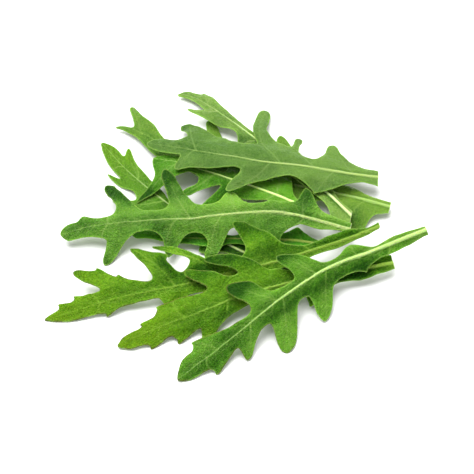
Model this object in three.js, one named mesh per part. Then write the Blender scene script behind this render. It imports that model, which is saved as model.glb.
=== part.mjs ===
// A small heap of ten wild rocket (arugula) leaves, as picked, lying on a table.
// Millimetres. +X runs towards the cut ends of the stalks, +Y to the back of the heap, +Z up.
// Each leaf is one piece: blade, midrib and cut stalk. It is laid on the leaves under it,
// so a leaf touches the table or its neighbours only at a few places.
import * as THREE from 'three';

// Thickness of a leaf: the blade, and what its midrib adds above and below.
const BLADE = 0.8;
const RIB_TOP = 0.25;
const RIB_UNDER = { stalk: 1.1, tip: 0.1 };

// How fine the facets are.
const EDGE_STEP = 2.7;
const RIB_STEP = 4;
const GRID_STEP = 4.4;
const EDGE_CLEARANCE = 1.8;
const RIB_CLEARANCE = 2.5;

// The height field that a leaf is laid on.
const GAP = 0.4;
const CELL = 0.5;
const FIELD = 200;
const SAMPLE_STEP = 0.7;

// How a leaf settles: it drops, then sinks ever more slowly against its own stiffness.
const STIFF_RADIUS = 20;
const EASE = 0.5;
const DROP_FROM = 30;
const SINKING = [
  { rounds: 260, sink: 0.14 },
  { rounds: 200, sink: 0.03 },
  { rounds: 400, sink: 0.004 },
];
const SPRINGING = { rounds: 120, sink: 0 };
const CLEARING_ROUNDS = 200;
const CLEAR_ENOUGH = 0.01;
const TOUCHING = 1e-4;

// A springy stalk holds its cut end up, over this share of the leaf.
const SPRINGY_SHARE = 0.45;
const SPRING_CURVE = 1.5;

// Whatever lies this close to the table is pressed flat on it.
const PRESSED = 0.5;

// The blade's own waves.
const BLADE_REACH = 14;
const DROOP_PER_MM = 0.2;
const RIPPLES = 4.5;
const RIPPLE_SIDE_SHIFT = 0.15;

// The leaves, from the lowest to the highest. A row of two numbers is a point on the edge.
// A row of five is a lobe or a tooth: its tip, its width there, and the notch that follows it.
// Both sides run from the stalk to the tip. The form is in millimetres: how far the leaf arches,
// how far its sides droop, how much it folds along the rib, its waves and how far its stalk rises.
const LEAVES = [
  {
    name: 'leaf_left_low',
    colour: 0x5f9a35,
    rib: [[25, -13.5], [3.5, -5.5], [-15, 6.5], [-27, 17.5], [-45, 36], [-56.5, 51.5]],
    far: [
      [26, -11.5], [8.5, -4], [3, 3, 3, -2, 0], [-13, 8.5], [-18.5, 18, 2.5, -22.5, 15],
      [-31.5, 26.5], [-41.5, 40], [-45.5, 48.5, 1.5, -47, 44.5], [-52, 50.5],
    ],
    tip: [-57, 52.5],
    near: [
      [24, -15.5], [6, -11.5], [-5, -5], [-15.5, -4, 3, -16.5, 1], [-25, 7.5],
      [-34, 7.5, 3, -35.5, 11.5], [-44.5, 17.5], [-51, 22.5, 2, -41, 21.5], [-42, 25],
      [-49, 29.5], [-53.5, 35, 0.8, -48, 32.5], [-53, 39.5], [-56.5, 48],
    ],
    form: { arch: 2, droop: 0.6, fold: 0.05, wave: 0.5, phase: 0.2, rise: 0 },
  },
  {
    name: 'leaf_middle_low',
    colour: 0x4f8a2c,
    rib: [[35.5, -1], [25.5, 0.5], [2, 0], [-20, 0.5], [-31, 2.5], [-41.5, 3.5]],
    far: [
      [36, 0.5], [29.5, 3], [24.5, 8, 3, 18.5, 4], [12, 4], [5, 8, 3, 1, 2.5], [-4, 2],
      [-13.5, 7, 3, -17.5, 3], [-29, 6], [-37, 6.5],
    ],
    tip: [-43, 4.5],
    near: [
      [35, -3], [21, -2.5], [14, -2], [8.5, -5, 3, 2.5, -2.5], [-4, -2.5],
      [-10, -5.5, 2.5, -13, -3.5], [-21, -2], [-26, -3, 2.5, -30, -0.5], [-37, 1.5], [-41, 1.5],
    ],
    form: { arch: 2, droop: 1, fold: 0.1, wave: 0.6, phase: 0.6, rise: 0 },
  },
  {
    name: 'leaf_right_low',
    colour: 0x6ba03f,
    rib: [
      [62.5, 16.5], [49, 20.5], [25.5, 26], [5.5, 32.5], [-15.5, 40], [-28, 46.5],
      [-42.5, 56.5], [-52, 59],
    ],
    far: [
      [63, 19], [54.5, 21.5], [47.5, 26], [36, 31.5], [26.5, 43], [18, 56, 3, 15.5, 45],
      [9.5, 39.5], [3.5, 40], [-4, 50], [-12, 63.5, 3, -12.5, 52], [-18, 47], [-29.5, 51],
      [-35, 60], [-39.5, 64], [-45, 71.5, 2, -43.5, 58.5], [-48.5, 59.5],
    ],
    tip: [-52, 59],
    near: [
      [61.5, 13.5], [55, 12.5], [51.5, 7.5], [46.5, 2.5, 4, 42.5, 13], [36, 18.5],
      [27, 15.5, 3, 17, 21], [-2, 31], [-12.5, 26.5, 3, -19, 33.5], [-30.5, 40.5],
      [-37, 46.5], [-43, 53.5], [-48.5, 57.5],
    ],
    form: { arch: 2.5, droop: 1.2, fold: 0.1, wave: 1, phase: 0.1, rise: 0 },
  },
  {
    name: 'leaf_inner',
    colour: 0x6fae33,
    rib: [[30.5, 13], [20, 17.5], [0, 25], [-12.5, 29.5], [-24.5, 34.5], [-34.5, 37]],
    far: [
      [31, 15], [23.5, 19], [21, 30, 3, 15, 27.5], [7, 26], [2, 30], [-1.5, 37.5, 3, -5, 29.5],
      [-14, 33.5], [-19, 39.5, 2, -21, 36.5], [-30, 38.5],
    ],
    tip: [-34.5, 37.5],
    near: [
      [29.5, 11], [20, 14.5], [13.5, 16.5], [2.5, 17], [-1, 18], [-8.5, 14],
      [-15, 13.5, 2, -6, 23],
      [-9.5, 23], [-13, 22], [-22.5, 20.5, 3, -16, 24.5], [-15.5, 27.5], [-19, 29.5],
      [-29.5, 25], [-41, 19, 0.6, -35, 27], [-33.5, 29.5], [-34.5, 34],
    ],
    form: { arch: 3, droop: 1.5, fold: 0.1, wave: 1, phase: 0.4, rise: 0 },
  },
  {
    name: 'leaf_back',
    colour: 0x6ea63a,
    rib: [
      [47, 9], [35, 22.5], [21.5, 34.5], [5.5, 51.5], [-4.5, 62], [-12, 69.5], [-16.5, 73.5],
      [-22, 76], [-25.5, 76],
    ],
    far: [
      [46.5, 12.5], [44.5, 14.5], [40.5, 19], [38.5, 24.5], [28, 35.5], [14, 47], [5, 55],
      [0, 61.5], [-6.5, 70], [-10.5, 75.5], [-14.5, 79, 1, -17, 78], [-21, 79.5],
      [-24, 77.5],
    ],
    tip: [-26, 76.5],
    near: [
      [45, 4], [38, 7], [36.5, 13.5], [27.5, 23.5], [15.5, 34.5], [8.5, 41.5],
      [2, 34.5, 5, -0.5, 53], [-9, 57.5], [-15, 61.5], [-21, 66.5, 0.8, -13.5, 65.5],
      [-18.5, 72.5], [-24, 75.5],
    ],
    form: { arch: 3, droop: 1.2, fold: 0.15, wave: 0.8, phase: 0.7, rise: 0 },
  },
  {
    name: 'leaf_left_upper',
    colour: 0x5c9436,
    rib: [
      [45.5, 1.5], [29.5, 5], [22, 6.5], [11, 7], [-8, 5.5], [-16.5, 4.5], [-29, 4.5],
      [-50.5, 4], [-61.5, 3.5], [-70, 1.5],
    ],
    far: [
      [46, 4.5], [38, 7], [32.5, 10], [30.5, 15.5], [28, 20, 1.5, 24, 13.5], [21, 12.5],
      [13.5, 12], [9, 11], [4.5, 11], [2.5, 12], [-2, 17.5, 5, -7.5, 11], [-13.5, 10],
      [-17, 11],
      [-20.5, 16.5], [-29.5, 30, 4, -27.5, 11.5], [-31, 9], [-38.5, 10], [-42, 13.5],
      [-53.5, 25, 3.2, -48.5, 11], [-49.5, 8.5], [-56, 7.5], [-62, 8.5], [-64, 6.5],
      [-68, 5.5], [-70.5, 3.5],
    ],
    tip: [-71, 1.5],
    near: [
      [45, 1], [31, 1.5], [25, 3], [17, -3.5, 3, 1, 1], [-3, 0], [-6, -6],
      [-12.5, -10, 4, -11.5, -4], [-14.5, -0.5], [-20.5, -1], [-23, -4],
      [-27.5, -8.5, 3, -29.5, -2.5], [-33, 0], [-40, 0], [-45, -3], [-53, -10, 3, -52, -1.5],
      [-55, -0.5], [-61, 0], [-67.5, -1],
    ],
    form: { arch: 5, droop: 1.6, fold: 0.1, wave: 1.2, phase: 0, rise: 0 },
  },
  {
    name: 'leaf_top',
    colour: 0x6f9e4a,
    rib: [
      [57.5, 28.5], [45, 28.5], [29.5, 30], [8, 31], [-4.5, 33.5], [-12.5, 35.5], [-27.5, 40.5],
      [-37, 43.5],
    ],
    far: [
      [58, 31.5], [48, 35], [42.5, 40.5], [39, 45.5, 4.5, 36.5, 40], [32, 35], [25.5, 38.5],
      [25.5, 42.5], [26.5, 50.5, 3, 22, 43], [16.5, 45.5], [12.5, 53.5], [13.5, 60.5],
      [12.5, 69, 4, 6.5, 55], [8, 43], [4.5, 41.5], [-0.5, 42], [-11, 52],
      [-23, 59.5, 4.5, -20.5, 46.5], [-24, 44.5], [-32.5, 46.5],
    ],
    tip: [-37.5, 43.5],
    near: [
      [57.5, 24], [52, 25], [45.5, 23], [37.5, 20.5], [31, 18.5, 1.5, 27.5, 22],
      [21.5, 24.5], [7.5, 21.5], [-4.5, 16.5, 3, 1.5, 26.5], [-7.5, 28], [-19, 28],
      [-25.5, 29, 3, -23, 35.5], [-28, 37], [-33, 39], [-36, 41],
    ],
    form: { arch: 6, droop: 1.6, fold: 0.05, wave: 1.2, phase: 0.5, rise: 4.5 },
  },
  {
    name: 'leaf_front_long',
    colour: 0x66a02c,
    rib: [
      [57.5, 3], [45.5, -2.5], [34, -7], [15.5, -13.5], [-1, -18], [-17, -22.5], [-36, -26.5],
      [-48.5, -29], [-64.5, -33.5], [-75.5, -36],
    ],
    far: [
      [56.5, 4.5], [52, 2], [43, 0.5], [36, -2.5], [27, -6.5], [16.5, -6], [11.5, -1.5],
      [5, 1.5], [-1.5, 2, 2.5, 3.5, -8.5], [1, -13], [-8.5, -15], [-15, -12.5],
      [-24.5, -8.5], [-33.5, -8.5, 1, -18.5, -14.5], [-21.5, -18], [-28, -14.5], [-27, -12],
      [-33, -11], [-42, -9.5, 1.5, -33, -22], [-39, -22.5], [-44, -21],
      [-47, -19.5, 1, -48.5, -20], [-55.5, -16.5, 1, -57.5, -17.5],
      [-64.5, -18.5, 3, -53.5, -25.5], [-58.5, -27], [-64, -28, 1, -65, -30],
      [-70, -31, 1, -70, -32.5], [-74, -34.5],
    ],
    tip: [-76, -36],
    near: [
      [57, 2.5], [53, -0.5], [46.5, -3.5], [40, -7], [34, -9], [27, -12], [13, -17.5],
      [-3, -22.5], [-9, -25], [-13.5, -25.5], [-18, -26.5], [-22, -28.5],
      [-27, -32.5, 2, -30, -28.5], [-36, -29.5],
      [-45, -31.5], [-51, -34.5, 1, -54, -34], [-65, -36.5], [-72, -36.5],
    ],
    form: { arch: 5, droop: 1.6, fold: 0.15, wave: 1.2, phase: 0.3, rise: 1 },
  },
  {
    name: 'leaf_front_middle',
    colour: 0x6da02a,
    rib: [
      [62, -12.5], [34.5, -19.5], [20.5, -23], [-1.5, -30.5], [-11.5, -35], [-27, -40.5],
      [-46.5, -48],
    ],
    far: [
      [61, -9.5], [50.5, -12], [42.5, -13], [32.5, -15.5], [23, -18], [13, -18], [5, -14.5],
      [-3, -13.5], [-13, -16, 2.5, 0.5, -20.5], [-4, -22.5], [-12, -20],
      [-21, -20, 2.5, -11.5, -27.5], [-14, -29], [-24, -31.5], [-31.5, -34, 1, -31.5, -37],
      [-37.5, -41, 1, -38.5, -42.5], [-44, -45],
    ],
    tip: [-46.5, -48.5],
    near: [
      [62.5, -14.5], [51.5, -19], [38.5, -22], [28.5, -30.5, 1.5, 26.5, -26], [17, -29],
      [5, -32], [-4.5, -38], [-13, -47.5, 2, -14, -41.5], [-23, -46.5, 1.5, -25, -44.5],
      [-33.5, -49, 1, -35.5, -48], [-41, -49.5],
    ],
    form: { arch: 4, droop: 1.6, fold: 0.15, wave: 1, phase: 0.8, rise: 5 },
  },
  {
    name: 'leaf_front',
    colour: 0x558f30,
    rib: [
      [75, -1], [52.5, -11], [40.5, -16], [33, -20], [21, -29], [0, -46.5], [-10.5, -54.5],
      [-22.5, -63],
    ],
    far: [
      [74.5, 0.5], [60.5, -5], [53.5, -9], [45, -8.5], [38, -15], [32.5, -16.5],
      [24.5, -14], [15, -15.5, 3.5, 22.5, -23.5], [13.5, -29], [6, -25.5],
      [-4.5, -28, 5, 5.5, -37.5], [-4, -44.5], [-17.5, -50.5, 1, -17, -53], [-21.5, -57],
    ],
    tip: [-23, -63.5],
    near: [
      [76, -2.5], [63.5, -9.5], [55.5, -13.5], [51, -18.5, 2, 44, -19.5], [38, -24],
      [37.5, -31], [34.5, -37, 5, 28, -29.5], [24, -32.5], [23.5, -41],
      [19.5, -51, 6.5, 13, -41.5],
      [8, -46.5], [4, -54.5, 3, 0.5, -51], [-8, -60.5, 1.5, -10, -59], [-18, -63],
    ],
    form: { arch: 5, droop: 1.8, fold: 0.1, wave: 1, phase: 0.15, rise: 11 },
  },
];

// Shoulders that round the tip of a lobe off, as a share of its width.
const SHOULDER_BACK = 0.42;
const SHOULDER_OUT = 0.5;

// Points of one side that lie this close to the tip are left out.
const TIP_CLEARANCE = 0.3;

// Smallest turn and roundness that still count.
const TURN_LEAST = 1e-6;
const ROUNDER_BY = 1e-9;

const distance = (a, b) => Math.hypot(a[0] - b[0], a[1] - b[1]);
const between = (a, b, share) => [a[0] + (b[0] - a[0]) * share, a[1] + (b[1] - a[1]) * share];

// One side of a leaf as points on its edge, from the stalk to the tip.
function sidePoints(rows, tip) {
  const points = [];
  rows.forEach((row) => {
    if (row.length === 2) {
      points.push(row);
      return;
    }
    const [x, y, width, notchX, notchY] = row;
    const before = points[points.length - 1] ?? row;
    const root = between(before, [notchX, notchY], 0.5);
    const length = distance([x, y], root);
    const ahead = [(x - root[0]) / length, (y - root[1]) / length];
    const turn = Math.sign((notchX - before[0]) * ahead[1] - (notchY - before[1]) * ahead[0]);
    const shoulder = (side) => [
      x - ahead[0] * width * SHOULDER_BACK + ahead[1] * side * turn * width * SHOULDER_OUT,
      y - ahead[1] * width * SHOULDER_BACK - ahead[0] * side * turn * width * SHOULDER_OUT,
    ];
    points.push(shoulder(-1), [x, y], shoulder(1), [notchX, notchY]);
  });
  return points.filter((point) => distance(point, tip) > TIP_CLEARANCE);
}

// Smooth curve through points, with a vertex on each point and about one per step between them.
function smoothCurve(points, step) {
  const inPlane = points.map(([x, y]) => new THREE.Vector3(x, y, 0));
  const curve = new THREE.CatmullRomCurve3(inPlane, false, 'centripetal');
  const out = [];
  for (let at = 0; at < points.length - 1; at++) {
    const parts = Math.max(1, Math.round(distance(points[at], points[at + 1]) / step));
    for (let part = 0; part < parts; part++) {
      const place = curve.getPoint((at + part / parts) / (points.length - 1));
      out.push([place.x, place.y]);
    }
  }
  out.push(points[points.length - 1]);
  return out;
}

// Outline of a leaf, anticlockwise: up the near side to the tip and back down the far side.
function leafOutline(leaf) {
  const near = smoothCurve([...sidePoints(leaf.near, leaf.tip), leaf.tip], EDGE_STEP);
  const far = smoothCurve([...sidePoints(leaf.far, leaf.tip), leaf.tip], EDGE_STEP);
  const loop = [...near, ...far.slice(0, -1).reverse()];
  const contour = loop.map(([x, y]) => new THREE.Vector2(x, y));
  return THREE.ShapeUtils.isClockWise(contour) ? loop.reverse() : loop;
}

function isInside([x, y], loop) {
  let inside = false;
  for (let a = 0, b = loop.length - 1; a < loop.length; b = a++) {
    const [ax, ay] = loop[a];
    const [bx, by] = loop[b];
    if ((ay > y) !== (by > y) && x < ((bx - ax) * (y - ay)) / (by - ay) + ax) {
      inside = !inside;
    }
  }
  return inside;
}

function segmentDistance(point, a, b) {
  const span = distance(a, b) ** 2 || 1;
  const share = ((point[0] - a[0]) * (b[0] - a[0]) + (point[1] - a[1]) * (b[1] - a[1])) / span;
  return distance(point, between(a, b, Math.min(1, Math.max(0, share))));
}

function edgeDistance(point, loop) {
  return Math.min(...loop.map((a, at) => segmentDistance(point, a, loop[(at + 1) % loop.length])));
}

// Where a point lies along the midrib, from 0 at the cut end to 1 at the tip, and how far from it.
function ribPlace(point, rib) {
  let best = { away: Infinity, share: 0, side: 0 };
  for (let at = 0; at < rib.length - 1; at++) {
    const away = segmentDistance(point, rib[at], rib[at + 1]);
    if (away < best.away) {
      const behind = distance(rib[at], point);
      const reach = behind / (behind + distance(rib[at + 1], point) || 1);
      const across = (rib[at + 1][0] - rib[at][0]) * (point[1] - rib[at][1])
        - (rib[at + 1][1] - rib[at][1]) * (point[0] - rib[at][0]);
      best = { away, share: (at + reach) / (rib.length - 1), side: Math.sign(across) };
    }
  }
  return best;
}

// Points inside the outline: a row down the midrib and a triangular grid over the blade.
function innerPoints(outline, rib) {
  const onRib = rib.slice(1, -1).filter((point) => isInside(point, outline)
    && edgeDistance(point, outline) > EDGE_CLEARANCE / 2);
  const xs = outline.map((point) => point[0]);
  const ys = outline.map((point) => point[1]);
  const rowStep = GRID_STEP * Math.sqrt(0.75);
  const grid = [];
  for (let row = 0; Math.min(...ys) + row * rowStep < Math.max(...ys); row++) {
    const y = Math.min(...ys) + row * rowStep;
    const shift = (row % 2) * GRID_STEP * 0.5;
    for (let x = Math.min(...xs) + shift; x < Math.max(...xs); x += GRID_STEP) {
      const clear = isInside([x, y], outline) && edgeDistance([x, y], outline) > EDGE_CLEARANCE
        && ribPlace([x, y], rib).away > RIB_CLEARANCE;
      if (clear) {
        grid.push([x, y]);
      }
    }
  }
  return { onRib, grid };
}

const turnOf = (a, b, c) => (b[0] - a[0]) * (c[1] - a[1]) - (b[1] - a[1]) * (c[0] - a[0]);

function inCircle(a, b, c, d) {
  const rows = [a, b, c].map(([x, y]) => [x - d[0], y - d[1], (x - d[0]) ** 2 + (y - d[1]) ** 2]);
  const [[ax, ay, aw], [bx, by, bw], [cx, cy, cw]] = rows;
  const reach = ax * (by * cw - bw * cy) - ay * (bx * cw - bw * cx) + aw * (bx * cy - by * cx);
  return reach > ROUNDER_BY;
}

// Swaps the shared edge of two triangles wherever that makes them rounder.
function evenOut(points, triangles, lastEdgePoint) {
  const onOutline = (a, b) => a <= lastEdgePoint && b <= lastEdgePoint
    && (Math.abs(a - b) === 1 || Math.abs(a - b) === lastEdgePoint);
  for (let swapped = true; swapped;) {
    swapped = false;
    const owner = new Map();
    triangles.forEach((triangle, at) => triangle.forEach((a, corner) => {
      owner.set(`${a},${triangle[(corner + 1) % 3]}`, at);
    }));
    const touched = new Set();
    for (const [edge, first] of owner) {
      const [a, b] = edge.split(',').map(Number);
      const second = owner.get(`${b},${a}`);
      if (second === undefined || onOutline(a, b) || touched.has(first) || touched.has(second)) {
        continue;
      }
      const c = triangles[first].find((corner) => corner !== a && corner !== b);
      const d = triangles[second].find((corner) => corner !== a && corner !== b);
      const convex = turnOf(points[a], points[d], points[c]) > TURN_LEAST
        && turnOf(points[d], points[b], points[c]) > TURN_LEAST;
      if (convex && inCircle(points[a], points[b], points[c], points[d])) {
        triangles[first] = [a, d, c];
        triangles[second] = [d, b, c];
        touched.add(first).add(second);
        swapped = true;
      }
    }
  }
  return triangles;
}

// Splits the flat leaf into triangles that are used alike on its upper and under side.
function splitFlatLeaf(outline, inner) {
  const points = [...outline];
  const contour = outline.map(([x, y]) => new THREE.Vector2(x, y));
  const triangles = THREE.ShapeUtils.triangulateShape(contour, []);
  for (const point of inner) {
    const home = triangles.findIndex(([a, b, c]) => turnOf(points[a], points[b], point) > TURN_LEAST
      && turnOf(points[b], points[c], point) > TURN_LEAST
      && turnOf(points[c], points[a], point) > TURN_LEAST);
    if (home < 0) {
      continue;
    }
    const [a, b, c] = triangles[home];
    const made = points.push(point) - 1;
    triangles.splice(home, 1, [a, b, made], [b, c, made], [c, a, made]);
  }
  return { points, triangles: evenOut(points, triangles, outline.length - 1) };
}

// The shape that a leaf would have with nothing pressing on it, as a height at each point.
function freeForm(point, rib, form) {
  const { away, share, side } = ribPlace(point, rib);
  const reach = Math.min(1, away / BLADE_REACH);
  const arch = form.arch * (1 - (2 * share - 1) ** 2);
  const gutter = form.fold * away * (1 - share);
  const sag = form.droop * reach * away * DROOP_PER_MM;
  const turns = share * RIPPLES + form.phase + side * RIPPLE_SIDE_SHIFT;
  return arch + gutter - sag + form.wave * reach * Math.sin(2 * Math.PI * turns);
}

// How much each neighbour counts in the flat plane that fits the leaf around a point.
function stiffness(points) {
  return points.map((home) => {
    const near = points.map((point, index) => ({ index, dx: point[0] - home[0], dy: point[1] - home[1] }))
      .filter(({ dx, dy }) => Math.hypot(dx, dy) < STIFF_RADIUS);
    const sums = { n: 0, x: 0, y: 0, xx: 0, xy: 0, yy: 0 };
    for (const { dx, dy } of near) {
      sums.n += 1;
      sums.x += dx;
      sums.y += dy;
      sums.xx += dx * dx;
      sums.xy += dx * dy;
      sums.yy += dy * dy;
    }
    const plane = new THREE.Matrix3().set(
      sums.n, sums.x, sums.y, sums.x, sums.xx + 1, sums.xy, sums.y, sums.xy, sums.yy + 1);
    const [level, , , slopeX, , , slopeY] = plane.invert().elements;
    return near.map(({ index, dx, dy }) => ({ index, weight: level + slopeX * dx + slopeY * dy }));
  });
}

// Heights of whatever a new leaf would rest on, over a square field of small cells.
const CELLS = FIELD / CELL;
const support = new Float64Array(CELLS * CELLS).fill(0);
const cellOf = (x, y) => Math.round((y + FIELD / 2) / CELL) * CELLS + Math.round((x + FIELD / 2) / CELL);

// Places spread over each triangle, as the three corners' shares.
function spreadSamples(points, triangles) {
  const samples = [];
  for (const corners of triangles) {
    const [a, b, c] = corners.map((corner) => points[corner]);
    const parts = Math.ceil(Math.max(distance(a, b), distance(b, c), distance(c, a)) / SAMPLE_STEP);
    for (let i = 0; i <= parts; i++) {
      for (let j = 0; j <= parts - i; j++) {
        const shares = [i / parts, j / parts, (parts - i - j) / parts];
        const x = a[0] * shares[0] + b[0] * shares[1] + c[0] * shares[2];
        const y = a[1] * shares[0] + b[1] * shares[1] + c[1] * shares[2];
        samples.push({ corners, shares, cell: cellOf(x, y) });
      }
    }
  }
  return samples;
}

const mixOf = (values, { corners, shares }) => values[corners[0]] * shares[0]
  + values[corners[1]] * shares[1] + values[corners[2]] * shares[2];

// Lifts the leaf's under side off anything that it would pass into. Says how much it moved.
function liftClear(heights, under, samples) {
  let most = 0;
  for (const sample of samples) {
    const floor = support[sample.cell];
    const wanted = floor > 0 ? floor + GAP : 0;
    const short = wanted - (mixOf(heights, sample) - mixOf(under, sample));
    if (short > TOUCHING) {
      const spread = sample.shares.reduce((sum, share) => sum + share * share, 0);
      sample.corners.forEach((corner, at) => {
        heights[corner] += (short * sample.shares[at]) / spread;
      });
      most = Math.max(most, short);
    }
  }
  return most;
}

// Lets a leaf sink on to what is under it, bending a little, until it rests.
function layDown(flat, rib, form, under) {
  const free = flat.points.map((point) => freeForm(point, rib, form));
  const weights = stiffness(flat.points);
  const samples = spreadSamples(flat.points, flat.triangles);
  let heights = free.map((height) => height + DROP_FROM);
  const settle = ({ rounds, sink }) => {
    for (let round = 0; round < rounds; round++) {
      const bend = heights.map((height, at) => height - free[at]);
      heights = weights.map((near, at) => {
        const plane = near.reduce((sum, { index, weight }) => sum + weight * bend[index], 0);
        return free[at] + bend[at] + EASE * (plane - bend[at]) - sink;
      });
      liftClear(heights, under, samples);
    }
  };
  SINKING.forEach(settle);
  flat.points.forEach((point, at) => {
    const toCutEnd = Math.max(0, 1 - ribPlace(point, rib).share / SPRINGY_SHARE);
    free[at] += form.rise * toCutEnd ** SPRING_CURVE;
    heights[at] += form.rise * toCutEnd ** SPRING_CURVE;
  });
  settle(SPRINGING);
  let round = 0;
  while (round < CLEARING_ROUNDS && liftClear(heights, under, samples) > CLEAR_ENOUGH) {
    round += 1;
  }
  return { heights, samples };
}

// Adds the upper side of a leaf that lies where it is to the heights that the next one rests on.
function addSupport(heights, over, samples) {
  const around = [0, 1, -1, CELLS, -CELLS, CELLS + 1, CELLS - 1, 1 - CELLS, -CELLS - 1];
  const fresh = new Map();
  for (const sample of samples) {
    const top = mixOf(heights, sample) + mixOf(over, sample);
    for (const step of around) {
      fresh.set(sample.cell + step, Math.max(fresh.get(sample.cell + step) ?? 0, top));
    }
  }
  for (const [cell, top] of fresh) {
    support[cell] = Math.max(support[cell], top);
  }
}

// Closed solid between an upper and an under side, with a wall all round the outline.
function leafGeometry(flat, edgeCount, upper, lower) {
  const count = flat.points.length;
  const vertices = [];
  flat.points.forEach(([x, y], at) => vertices.push(x, y, upper[at]));
  flat.points.forEach(([x, y], at) => vertices.push(x, y, lower[at]));
  const faces = [];
  for (const [a, b, c] of flat.triangles) {
    faces.push(a, b, c, count + a, count + c, count + b);
  }
  for (let a = 0; a < edgeCount; a++) {
    const b = (a + 1) % edgeCount;
    faces.push(a, count + a, count + b, a, count + b, b);
  }
  const geometry = new THREE.BufferGeometry();
  geometry.setAttribute('position', new THREE.Float32BufferAttribute(vertices, 3));
  geometry.setIndex(faces);
  geometry.computeVertexNormals();
  return geometry;
}

function makeLeaf(leaf) {
  const outline = leafOutline(leaf);
  const rib = smoothCurve(leaf.rib, RIB_STEP);
  const { onRib, grid } = innerPoints(outline, rib);
  const flat = splitFlatLeaf(outline, [...onRib, ...grid]);
  const ribUnder = (point) => RIB_UNDER.stalk
    + (RIB_UNDER.tip - RIB_UNDER.stalk) * ribPlace(point, rib).share;
  const over = flat.points.map((point) => BLADE / 2 + (onRib.includes(point) ? RIB_TOP : 0));
  const under = flat.points.map((point) => BLADE / 2 + (onRib.includes(point) ? ribUnder(point) : 0));
  const { heights, samples } = layDown(flat, rib, leaf.form, under);
  addSupport(heights, over, samples);
  const upper = heights.map((height, at) => height + over[at]);
  const lower = heights.map((height, at) => (height - under[at] < PRESSED ? 0 : height - under[at]));
  const material = new THREE.MeshStandardMaterial({ color: leaf.colour, roughness: 0.55, metalness: 0 });
  const mesh = new THREE.Mesh(leafGeometry(flat, outline.length, upper, lower), material);
  mesh.name = leaf.name;
  return mesh;
}

// The heap's own frame: the middle of its box on the table.
const group = new THREE.Group();
group.add(...LEAVES.map(makeLeaf));
const box = new THREE.Box3().setFromObject(group);
const middle = box.getCenter(new THREE.Vector3());
group.position.set(-middle.x, -middle.y, -box.min.z);

export default group;
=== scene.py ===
# A small heap of ten wild rocket (arugula) leaves on a white table.
# Each leaf starts from the solid of the same name and keeps its form. Its edge is rounded, its
# blade is thinned and puckered between its veins, and its midrib, veins and cut end are added.
import math
import random

import bmesh
import bpy
import numpy as np
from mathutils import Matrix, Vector, kdtree, noise


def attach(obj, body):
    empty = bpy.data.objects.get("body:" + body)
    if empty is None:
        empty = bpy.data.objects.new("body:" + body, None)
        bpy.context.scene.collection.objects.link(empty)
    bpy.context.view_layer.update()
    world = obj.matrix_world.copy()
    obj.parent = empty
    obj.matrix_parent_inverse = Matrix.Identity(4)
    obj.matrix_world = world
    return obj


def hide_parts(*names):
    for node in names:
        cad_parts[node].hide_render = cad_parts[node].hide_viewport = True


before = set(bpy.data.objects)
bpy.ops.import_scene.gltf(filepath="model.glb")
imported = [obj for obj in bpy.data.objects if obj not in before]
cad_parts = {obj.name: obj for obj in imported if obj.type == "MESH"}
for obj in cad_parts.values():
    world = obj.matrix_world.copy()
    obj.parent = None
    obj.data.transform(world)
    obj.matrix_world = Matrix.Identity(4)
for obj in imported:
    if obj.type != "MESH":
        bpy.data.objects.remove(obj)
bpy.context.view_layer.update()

# Leaves are worked out in millimetres, and angles in radians.
MM = 0.001
TINY = 1e-6

# The solids stand this far from the plan that the midribs and the spots of painted light and shade
# below are drawn on.
PLAN_SHIFT = (0.0, -8.0)

# What the solids add to the middle of a blade, and how far a thin blade sinks to lie as they do.
SOLID_HALF_BLADE = 0.4
SETTLE = 0.16

# How fine a leaf is, and what counts as one point, as facing up and as a sharp corner.
CUTS = 11
RIB_STEP = 0.25
SAME_POINT = 0.01
SLOPE_LEAST = 0.05
FACES_UP = 0.5
SHARP_TURN = math.radians(125)

# Smoothing of the edge and of the blade, and how far a blade may leave its solid.
EDGE_ROUNDS = 34
BLUNT_ROUNDS = 40
BLUNT_FULL = 2.4
WANDER = {"far": 0.16, "length": 3.2}
BLADE_ROUNDS = 85
STRAY = 0.32

# How a blade may use the room between its solid and its neighbours.
ROOM_FREE = 1000.0
ROOM_MARGIN = 0.05
ROOM_MOST = 2.6
ROOM_LEAST = 0.001
ROOM_SEEN = 0.7
ROOM_SHRINK = 5
ROOM_ROUNDS = 34
WAVE_SHARE = 0.6

# The blade's waves: long ones that lift or drop a lobe, and short ones along the edge.
LONG_WAVE = {"length": 15.0, "height": 1.5, "starts": 2.0, "full": 9.0, "seed": 1.7}
SHORT_WAVE = {"length": 6.5, "height": 0.6, "starts": 1.0, "full": 5.0, "seed": 2.9}

# Beside the midrib the blade has a shoulder and may fold down, and its sides may turn up.
BLADE_STARTS = 1.6
SHOULDER = {"height": 0.45, "away": 3.2}
FOLD = {"reach": 3.4, "lost_at_tip": 0.8}
LIFT = {"starts": 1.0, "reach": 10.0, "most": 1.4}
EDGE_DROP = {"height": 0.55, "within": 2.0}

# Thickness of the blade in its middle and at its edge.
BLADE = 0.42
BLADE_EDGE = 0.2
BLADE_TAPER = 1.6

# The midrib from stalk to tip: half its width, and what it stands above and below the blade.
RIB_HALF = (0.64, 0.12)
RIB_NARROWS = 1.2
RIB_FOOT = 1.3
RIB_ABOVE = (0.36, 0.08)
RIB_BELOW = (0.95, 0.12)
GROOVE = {"depth": 0.12, "away": 1.8}

# A strip narrower than this on each side of the midrib is a rounded stalk.
STALK_HALF = (1.9, 3.0)
STALK_HALF_LEAST = 0.3
STALK_ABOVE = 0.22
STALK_BELOW = 0.75

# A lobe has a side vein that runs from the midrib through the lobe's root to near its tip.
LOBE_LEAST = 1.6
LOBE_WINDOW = 4.0
LOBE_REACH = 0.94
LOBE_VEIN_BACK = 0.7
LOBE_VEIN_BEND = (0.3, 0.7)
LOBE_VEIN_STEPS = 8

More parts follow.
